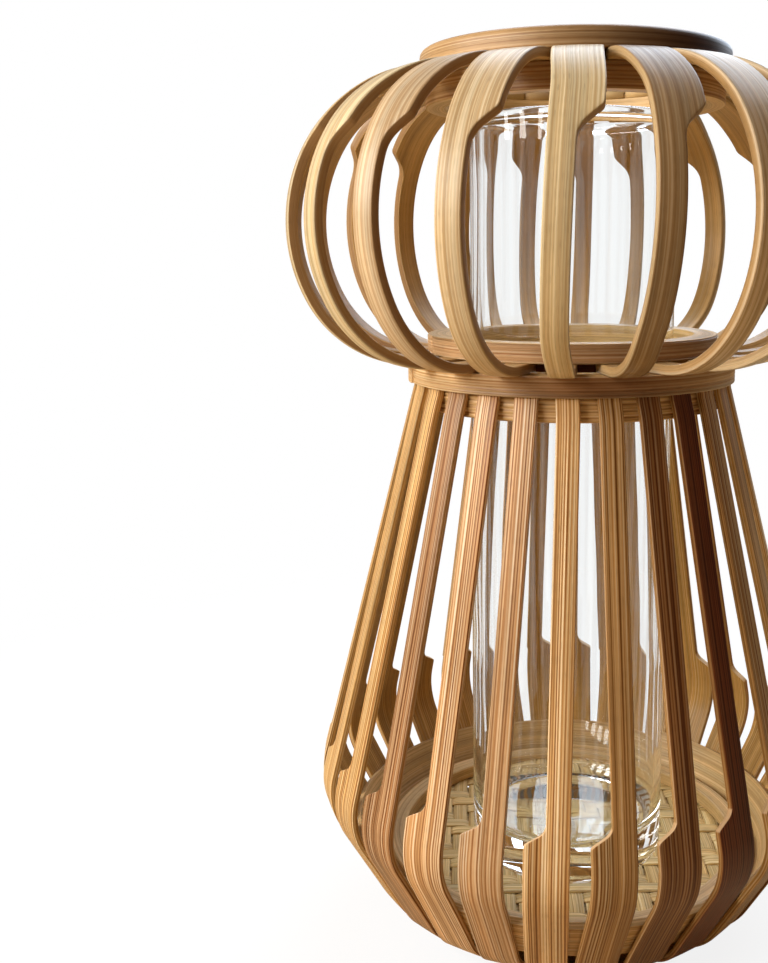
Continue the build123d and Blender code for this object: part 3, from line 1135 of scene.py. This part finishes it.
@dataclass(frozen=True)
class PlaitedMat:
    """The vase's floor: flat strips plaited over two and under two.

    Attributes:
        radius: Outer radius in mm.
        low, high: Heights of the mat's faces in mm.
        pitch: Distance from strip to strip in mm.
        width: Width of a strip in mm.
        strip: Thickness of a strip in mm.
        turn: Turn of the plait about Z in degrees.
        uneven: How far widths differ, as a share.
        wander: How far strips lie beside their place in mm.
        rim: Gap between the strips' ends and the mat's rim in mm.
        air: Gap between strips that cross in mm.
        edge: Rounding of a strip's edges in mm.
        step: Distance from row to row of the mesh in mm.
    """

    radius: float
    low: float
    high: float
    pitch: float = 6.6
    width: float = 5.9
    strip: float = 0.8
    turn: float = 5.0
    uneven: float = 0.08
    wander: float = 0.25
    rim: float = 0.3
    air: float = 0.12
    edge: float = 0.22
    step: float = 1.1

    def strip_patch(self, number: int, crosswise: bool) -> Patch:
        """Shape one strip, which rises over two crossing strips and dips under the next two.

        Its height follows a cosine with a period of four strips, flattened by tanh. Widths, places and
        tones differ by sines of its number.

        Args:
            number: The strip's number from the middle.
            crosswise: True for the strips that run across.

        Returns:
            The strip as a closed patch.
        """
        shortest, period, flatness = 2.0, 4, 2.4
        toning, grain_apart = 0.3, 60
        width = self.width * (1 + self.uneven * math.sin(2.3 * number + crosswise))
        aside = number * self.pitch + self.wander * math.sin(1.7 * number)
        chord = math.sqrt(max(self.radius ** 2 - (abs(aside) + width / 2) ** 2, shortest ** 2))
        half = chord - self.rim
        along = np.linspace(-half, half, math.ceil(2 * half / self.step) + 4)[:, None]
        wave = np.cos(math.tau * (along / self.pitch + number - 0.5) / period)
        swing = ((self.high - self.low) / 2 - self.strip / 2 - self.air) * (-1 if crosswise else 1)
        w, t = width / 2, self.strip / 2
        loop = rounded_loop([(-w, -t), (w, -t), (w, t), (-w, t)], [self.edge] * 4, 3)
        side = aside + loop[:, 0] + 0 * along
        height = (self.low + self.high) / 2 + swing * np.tanh(flatness * wave) + loop[:, 1]
        x, y = (along + 0 * side, side) if crosswise else (side, along + 0 * side)
        cos, sin = math.cos(math.radians(self.turn)), math.sin(math.radians(self.turn))
        points = np.stack([x * cos - y * sin, x * sin + y * cos, height], axis=-1) * MM
        tone = 0.5 + 0.5 * math.sin(2.1 * number + crosswise)
        flat = np.zeros_like(side)
        values = {"flesh": flat, "cut_and_shade": flat, "rosy": flat + toning * tone,
                  "deep": flat + toning * (1 - tone)}
        v = along[:, 0] * MM + number + grain_apart * crosswise
        return Patch(points, loop_grain(loop, len(along)), v, values)

    def build(self) -> None:
        """Build the mat as one piece."""
        reach = int((self.radius - self.width) / self.pitch)
        numbers = range(-reach, reach + 1)
        patches = [self.strip_patch(i, crosswise) for crosswise in (False, True) for i in numbers]
        mat = make_object("woven_mat_plait", patches, PLAIT_BAMBOO.material())
        place(mat, Body.CAGE, "plaited_bamboo", "woven_mat")


@dataclass(frozen=True)
class GlassCylinder:
    """The clear cylinder that holds the water: thin wall, thick base with a dished floor, rounded lip.

    Attributes:
        radius: Outer radius in mm.
        low, high: Heights of its foot and lip in mm.
        wall: Wall in mm.
        base: Height of the floor above the foot at the wall in mm.
        foot_round, floor_round: Rounding outside at the foot and inside at the floor, in mm.
        dish, punt: How far the floor dips, and the underside rises, in the middle, in mm.
        bead: How far the wall swells inwards under the lip, in mm.
        bead_at, bead_half: Depth of that swelling under the lip, and half its height, in mm.
        stand: Width of the flat ring that the glass stands on, in mm.
        pole: Radius of the small discs that close the middle, in mm.
        turns: Columns of the mesh round the axis.
    """

    radius: float
    low: float
    high: float
    wall: float = 3.0
    base: float = 14.0
    foot_round: float = 4.0
    floor_round: float = 7.0
    dish: float = 1.6
    punt: float = 2.2
    bead: float = 0.8
    bead_at: float = 2.4
    bead_half: float = 1.5
    stand: float = 2.0
    pole: float = 0.4
    turns: int = 160

    def bulge(self, height: np.ndarray) -> np.ndarray:
        """Return how far the wall swells inwards at a height: a bell curve under the lip."""
        return self.bead * np.exp(-((self.high - self.bead_at - height) / self.bead_half) ** 2)

    def outline(self) -> np.ndarray:
        """Draw the outline from the middle of the underside round the lip to the middle of the floor.

        Underside and floor are parabolas, the foot and the floor's edge quarter circles and the lip half an
        ellipse.

        Returns:
            Radius and height in mm, points by two.
        """
        bore, lip = self.radius - self.wall, self.wall / 2
        floor = self.low + self.base
        on_corner, on_lip, on_floor, on_bead, on_wall = 9, 13, 14, 16, 24
        quarter = np.linspace(0, math.pi / 2, on_corner)
        half_turn = np.linspace(0, math.pi, on_lip)
        fall, rise = 1 - np.cos(quarter), 1 - np.sin(quarter)
        under = np.linspace(self.pole, self.radius - self.foot_round - self.stand, on_floor)
        inside = np.linspace(bore - self.floor_round, self.pole, on_floor)[1:]
        up = np.linspace(self.low + self.foot_round, self.high - lip, on_wall)[1:-1]
        plain = self.high - self.bead_at - 3 * self.bead_half
        down = np.append(np.linspace(self.high - lip, plain, on_bead)[1:],
                         np.linspace(plain, floor + self.floor_round, on_wall)[1:-1])
        half = (self.wall + self.bulge(self.high - lip)) / 2
        parts = [
            (under, self.low + self.punt * (1 - (under / under[-1]) ** 2)),
            (self.radius - self.foot_round * rise, self.low + self.foot_round * fall),
            (np.full_like(up, self.radius), up),
            (self.radius - half + half * np.cos(half_turn), self.high - lip + lip * np.sin(half_turn)),
            (bore - self.bulge(down), down),
            (bore - self.floor_round * fall, floor + self.floor_round * rise),
            (inside, floor - self.dish * (1 - (inside / (bore - self.floor_round)) ** 2)),
        ]
        return np.concatenate([np.stack(part, 1) for part in parts])

    def build(self) -> None:
        """Build the glass as one turned wall."""
        loop = self.outline()
        ends = np.linspace(0, math.tau, self.turns + 1)
        angle = ends[:-1, None]
        points = round_axis(loop[:, 0] + 0 * angle, angle, loop[:, 1])
        v = ends * self.radius * MM
        u = tuple(part[:, :-1] for part in loop_grain(loop, self.turns + 1))
        patch = Patch(points, u, v, {}, closed_rows=True, closed_columns=False)
        glass = make_object("glass_cylinder_blown", [patch], GlassFinish().material())
        place(glass, Body.GLASS, "glass", "glass_cylinder")


# Studio


@dataclass(frozen=True)
class Lamp:
    """A soft lamp behind a rectangular screen.

    Attributes:
        name: Its name.
        way: Degrees from the front, right positive, and degrees above the horizon.
        away: Distance from the middle of the vase in metres.
        size: Width and height of the screen in metres.
        power: Power in watts.
        colour: Colour of its light.
    """

    name: str
    way: tuple[float, float]
    away: float
    size: tuple[float, float]
    power: float
    colour: str

    def build(self, aim: Vector) -> None:
        """Hang the lamp at its distance from a point, facing it.

        Args:
            aim: The point.
        """
        data = bpy.data.lights.new(self.name, "AREA")
        data.shape = "RECTANGLE"
        data.size, data.size_y = self.size
        data.energy, data.color = self.power, linear(self.colour)[:3]
        turn, up = (math.radians(a) for a in self.way)
        back = Vector((math.sin(turn) * math.cos(up), -math.cos(turn) * math.cos(up), math.sin(up)))
        made = linked(self.name, data)
        made.location = aim + back * self.away
        made.rotation_mode = "QUATERNION"
        made.rotation_quaternion = back.to_track_quat("Z", "Y")


@dataclass(frozen=True)
class Studio:
    """Camera, lamps, table and backdrop.

    Attributes:
        image: Width and height of the picture in pixels.
        focal: Focal length in pixels.
        centre: Pixel where the optical axis meets the picture.
        place: Camera's place in metres.
        yaw, pitch, roll: Camera's turn to the right, tilt down and roll clockwise, in degrees.
        sensor: Long side of the camera's sensor in mm.
        clip: Nearest and farthest distance that the camera sees, in metres.
        fill: Light that comes from all round.
        mirrored: What shiny surfaces mirror of the backdrop.
        room: Colour of the dim room on this side of the vase.
        behind: Y of the directions over which the room goes over into the backdrop behind the vase.
        level: Z of the directions over which the room overhead goes over into the backdrop.
        aim: The point that the lamps face, in metres.
        reach: How far the table goes to each side, in metres.
        lamps: A window on the left and the sky behind.
    """

    image: tuple[int, int] = (768, 963)
    focal: float = 1119.1
    centre: tuple[float, float] = (480.7, 470.8)
    place: tuple[float, float, float] = (0.0, -0.44806, 0.27552)
    yaw: float = -4.645
    pitch: float = 11.204
    roll: float = 0.268
    sensor: float = 36.0
    clip: tuple[float, float] = (0.01, 50.0)
    fill: str = "#66523C"
    mirrored: str = "#B0ACA6"
    room: str = "#4C4842"
    behind: tuple[float, float] = (0.1, 0.6)
    level: tuple[float, float] = (0.8, 0.5)
    aim: tuple[float, float, float] = (0.0, 0.0, 0.2)
    reach: float = 6.0
    lamps: tuple[Lamp, ...] = (
        Lamp("window_left", (-61.0, 26.0), away=1.2, size=(1.2, 0.55), power=24.5, colour="#FFFBF4"),
        Lamp("sky_back", (158.0, 44.0), away=1.2, size=(1.2, 1.2), power=21.0, colour="#D2E2F4"),
    )

    def camera(self) -> None:
        """Set the camera at the photo's viewpoint: its axes are turned by yaw and pitch, then rolled."""
        data = bpy.data.cameras.new("photo_camera")
        # The sensor's long side is the picture's longer side. Shifts are shares of it.
        longer = max(self.image)
        data.sensor_width = self.sensor
        data.lens = self.sensor * self.focal / longer
        data.shift_x = (self.image[0] / 2 - self.centre[0]) / longer
        data.shift_y = (self.centre[1] - self.image[1] / 2) / longer
        data.clip_start, data.clip_end = self.clip
        yaw, pitch, roll = (math.radians(a) for a in (self.yaw, self.pitch, self.roll))
        ahead = Vector((math.sin(yaw) * math.cos(pitch), math.cos(yaw) * math.cos(pitch), -math.sin(pitch)))
        right = Vector((math.cos(yaw), -math.sin(yaw), 0.0))
        down = ahead.cross(right)
        rolled_right = math.cos(roll) * right + math.sin(roll) * down
        rolled_down = math.cos(roll) * down - math.sin(roll) * right
        axes = Matrix((rolled_right, -rolled_down, -ahead)).transposed()
        made = linked("photo_camera", data)
        made.matrix_world = Matrix.Translation(self.place) @ axes.to_4x4()
        bpy.context.scene.camera = made

    def table(self) -> None:
        """Lay the white table."""
        mesh = bpy.data.meshes.new("table")
        spots = [(x * self.reach, y * self.reach, 0.0) for x, y in ((-1, -1), (1, -1), (1, 1), (-1, 1))]
        mesh.from_pydata(spots, [], [(0, 1, 2, 3)])
        mesh.materials.append(TableFinish().material())
        made = linked("table", mesh)

    def world(self) -> None:
        """Make the surroundings: a white backdrop and a warm fill of light.

        Shiny surfaces mirror the backdrop behind the vase, and the dim room on this side of it. Glass shows
        the backdrop on every side, as it is seen past the glass, and the dim room only overhead.
        """
        world = bpy.data.worlds.new("studio")
        s = Shader(world)
        white = linear(WHITE)
        way = s.add("TexCoord", {}, "Generated")
        shown = []
        for axis, limits, backdrop in (("Y", self.behind, linear(self.mirrored)), ("Z", self.level, white)):
            share = s.add("MapRange", spread(s.add("SeparateXYZ", {0: way}, axis), limits, (0.0, 1.0)))
            blend = {0: share, 6: linear(self.room), 7: backdrop}
            shown.append(s.add("Mix", blend, 2, data_type="RGBA"))
        colour = linear(self.fill)
        for ray, over in zip(("Is Glossy Ray", "Is Transmission Ray", "Is Camera Ray"), (*shown, white)):
            colour = s.add("Mix", {0: s.seen(ray), 6: colour, 7: over}, 2, data_type="RGBA")
        s.add("OutputWorld", {"Surface": s.add("Background", {"Color": colour, "Strength": 1.0})})
        bpy.context.scene.world = world

    def build(self) -> None:
        """Set up everything round the vase."""
        self.camera()
        self.table()
        self.world()
        for lamp in self.lamps:
            lamp.build(Vector(self.aim))
        bpy.context.scene.view_settings.view_transform = "Standard"


# The vase


def box_mm(node: str) -> tuple[float, float, float]:
    """Read a round node's outer radius, low and high from the frame, in mm."""
    low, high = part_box(node)
    return high.y / MM, low.z / MM, high.z / MM


def upper_tier() -> SlatTier:
    """Describe the bulb's slats.

    The side's radius and the turns are given. The radii of the two other bends are worked out, so that the
    slat starts at the top ring's radius and ends at the waist hoop's, lower by the height of the bulb.

    Returns:
        The tier.
    """
    ring_radius = box_mm("top_coil_ring")[0]
    hoop_radius, _, waist = box_mm("waist_hoop")
    cap_low = box_mm("cap_hoop")[1]
    top_tongue, side_radius, low_tongue = 8.0, 60.5, 14.9
    ledge_before_bend, upright_above_waist = 2.0, 50.0
    turns = (-57.4, -59.6, -63.0)
    headings = np.radians(np.cumsum((0.0, *turns)))
    out, down = -np.diff(np.sin(headings)), -np.diff(np.cos(headings))
    left = [hoop_radius - ring_radius - side_radius * out[1], cap_low - waist - side_radius * down[1]]
    top, bottom = np.linalg.solve([[out[0], out[2]], [down[0], down[2]]], left)
    bends = [Stretch.bend(radius, turn) for radius, turn in zip((top, side_radius, bottom), turns)]
    path = StripPath((ring_radius - top_tongue, cap_low), 0.0,
                     (Stretch(top_tongue), *bends, Stretch(low_tongue)))
    ledge = path.joints()[1] - ledge_before_bend
    return SlatTier(
        "upper_slat", "upper_bamboo", UPPER_BAMBOO, count=21, path=path,
        section=Section(thickness=3.6, narrow=9.0, wide=16.8, edge=0.5, crown=0.15),
        shoulder=Shoulder(Side.RIGHT, ledge, narrowing=1, angle=46.0, fillet=11.0, corner=3.0),
        spacing=Wave(mean=1.4, swing=4.4, waves=1, start=-61.0),
        lean=Wave(mean=0.3, swing=2.0, waves=3, start=64.3),
        upright=waist + upright_above_waist,
        rosy=(Tone(0.8, waves=5, peak=40.0),),
        # The first two deep tonings are painted shade on the slats turned from the light, one right of the
        # front and one at the far left; the third is the slats' own uneven tone.
        deep=(Tone(0.55, peak=16.0, sharp=60.0), Tone(0.45, peak=-87.0, sharp=60.0),
              Tone(0.15, waves=7, peak=20.0)),
        # The cut colour on the edge with the ledge is painted shade: that edge faces away from the light.
        ledge_cut_and_shade=0.7, edge_shade=0.7)


def lower_tier() -> SlatTier:
    """Describe the flared slats, from the waist to the foot.

    A slat runs down inside the hoop, flares out, turns in at the belly and lies level on its tongue.

    Returns:
        The tier.
    """
    hoop_radius, hoop_low, waist = box_mm("waist_hoop")
    narrow, wide, angle = 8.5, 16.0, 30.0
    straight, under, tongue = 157.0, 33.0, 10.0
    waist_bend, belly_bend, foot_bend = 8.0, 28.0, 32.0
    narrow_below_waist, upright_below_waist = 146.5, 90.0
    stretches = (Stretch(waist - hoop_low), Stretch.bend(waist_bend, FLARE), Stretch(straight),
                 Stretch.bend(belly_bend, -BELLY_TURN), Stretch(under),
                 Stretch.bend(foot_bend, BELLY_TURN - FLARE - 90.0), Stretch(tongue))
    top = math.sqrt((hoop_radius - HOOP_WALL) ** 2 - (narrow / 2) ** 2)
    path = StripPath((top, waist), -90.0, stretches)
    ledge = path.joints()[1] + narrow_below_waist + (wide - narrow) * math.tan(math.radians(angle))
    return SlatTier(
        "lower_slat", "lower_bamboo", LOWER_BAMBOO, count=28, path=path,
        section=Section(thickness=2.4, narrow=narrow, wide=wide, edge=0.35, crown=0.1),
        shoulder=Shoulder(Side.LEFT, ledge, narrowing=-1, angle=angle, fillet=5.0, corner=1.2),
        spacing=Wave(mean=-0.8, swing=2.4, waves=1, start=-10.0),
        lean=Wave(mean=0.0, swing=1.0, waves=2, start=30.0),
        upright=waist - upright_below_waist,
        rosy=(Tone(1.0, peak=-27.0, sharp=20.0), Tone(0.6, waves=3, peak=100.0)),
        # The deep tonings darken the slats right of the front, partly as their own darker bamboo and partly
        # as painted shade where they turn from the light; the others darken single slats here and there.
        deep=(Tone(1.0, peak=35.0, sharp=20.0), Tone(0.25, waves=7, peak=-39.0),
              Tone(0.28, peak=-39.0, sharp=150.0), Tone(0.22, peak=-13.0, sharp=150.0)))


def square_ring(node: str, wall: float, rounds: list[float], **details: Any) -> CoiledRing:
    """Describe a ring of square section from its node's box.

    Args:
        node: The node that the ring stands for.
        wall: Its wall in mm.
        rounds: Rounding of the inner low, outer low, outer high and inner high corner in mm.
        details: Further details of the ring.

    Returns:
        The ring.
    """
    radius, low, high = box_mm(node)
    corners = [(radius - wall, low), (radius, low), (radius, high), (radius - wall, high)]
    slots = {"cap_hoop": ("cap_bamboo", CAP_BAMBOO), "waist_hoop": ("hoop_bamboo", HOOP_BAMBOO)}
    slot, finish = slots.get(node, ("ring_bamboo", RING_BAMBOO))
    return CoiledRing(f"{node}_coil", slot, finish, corners, rounds, (node,), **details)


def rings() -> list[CoiledRing]:
    """Describe the rings.

    The band at the floor leans like the slats under the belly: their turn there less their flare.

    Returns:
        The rings, from the cap down, and the sloping band at the floor.
    """
    plain = [0.6] * 4
    ridges, ridged_height = 7, 17.0
    hoop_lines = tuple(box_mm("waist_hoop")[1] + up for up in (1.4, 2.8))
    bulb_radius, bulb_low, bulb_high = box_mm("bulb_base_ring")
    clamp_wall, skirt_wall, skirt_height, sunk = 9.6, 1.6, 3.6, 0.5
    bore, clamp_low = bulb_radius - clamp_wall, bulb_low + skirt_height
    edge, skirt_high = bore + skirt_wall, clamp_low + sunk
    clamp = [(bore, clamp_low), (bulb_radius, clamp_low), (bulb_radius, bulb_high), (bore, bulb_high)]
    skirt = [(bore, bulb_low), (edge, bulb_low), (edge, skirt_high), (bore, skirt_high)]
    floor_wall = box_mm("floor_coil_ring")[0] - FLOOR_BORE
    band_radius, band_low, _ = box_mm("base_band")
    width, wall, lean = 20.0, 3.0, math.radians(BELLY_TURN - FLARE)
    slope = (width * math.sin(lean), width * math.cos(lean))
    outer = [(band_radius - slope[0], band_low), (band_radius, band_low + slope[1])]
    inner = [(r - wall * math.cos(lean), z + wall * math.sin(lean)) for r, z in outer]
    return [
        # The cap's deep toning is painted shade on its right side, which faces away from the light.
        square_ring("cap_hoop", wall=8.0, rounds=[0.6, 0.9, 2.4, 0.9], deep=(Tone(1.0, peak=65.0),)),
        # The top ring's deep toning is painted shade on its outer face, which lies in shade under the cap.
        square_ring("top_coil_ring", wall=8.0, rounds=plain, winding=1.3, groove=0.1, deep=(Tone(0.6),)),
        CoiledRing("bulb_base_ring_coil", "ring_bamboo", RING_BAMBOO, clamp, plain, ("bulb_base_ring",),
                   winding=1.2, end_step=0.35, end_at=-69.6,
                   rosy=(Tone(0.5, waves=0),), deep=(Tone(0.4, peak=40.0),)),
        # The skirt's deep toning is painted shade: its outer face lies in the dark recess behind the
        # tongues.
        CoiledRing("bulb_base_ring_skirt", "ring_bamboo", RING_BAMBOO, skirt, [0.3] * 4,
                   deep=(Tone(1.0, waves=0),)),
        # The hoop's deep toning is painted shade over its front and right side, which face away from the
        # light.
        square_ring("waist_hoop", wall=HOOP_WALL, rounds=[0.3, 0.4, 0.4, 0.3], groove=0.3,
                    lines=hoop_lines, deep=(Tone(0.85, peak=10.0, sharp=2.0),)),
        square_ring("waist_inner_ring", wall=7.0, rounds=plain, winding=ridged_height / ridges, groove=0.6),
        square_ring("mat_retaining_ring", wall=7.5, rounds=plain, winding=1.4, groove=0.1),
        square_ring("floor_coil_ring", wall=floor_wall, rounds=plain, winding=1.6, groove=0.12),
        square_ring("foot_ring", wall=12.0, rounds=[0.5, 1.0, 0.5, 0.5], winding=1.6, groove=0.12),
        CoiledRing("base_band_strip", "ring_bamboo", RING_BAMBOO, [inner[0], *outer, inner[1]], [0.4] * 4,
                   ("base_band",)),
    ]


def main() -> None:
    """Build the vase on its frame and set the studio."""
    logging.basicConfig(level=logging.INFO, format="%(message)s")
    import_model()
    upper_tier().build()
    lower_tier().build()
    for ring in rings():
        ring.build()
    HoopLap(*box_mm("waist_hoop")).build()
    PlaitedMat(*box_mm("woven_mat")).build()
    GlassCylinder(*box_mm("glass_cylinder")).build()
    Studio().build()


if __name__ == "__main__":
    main()
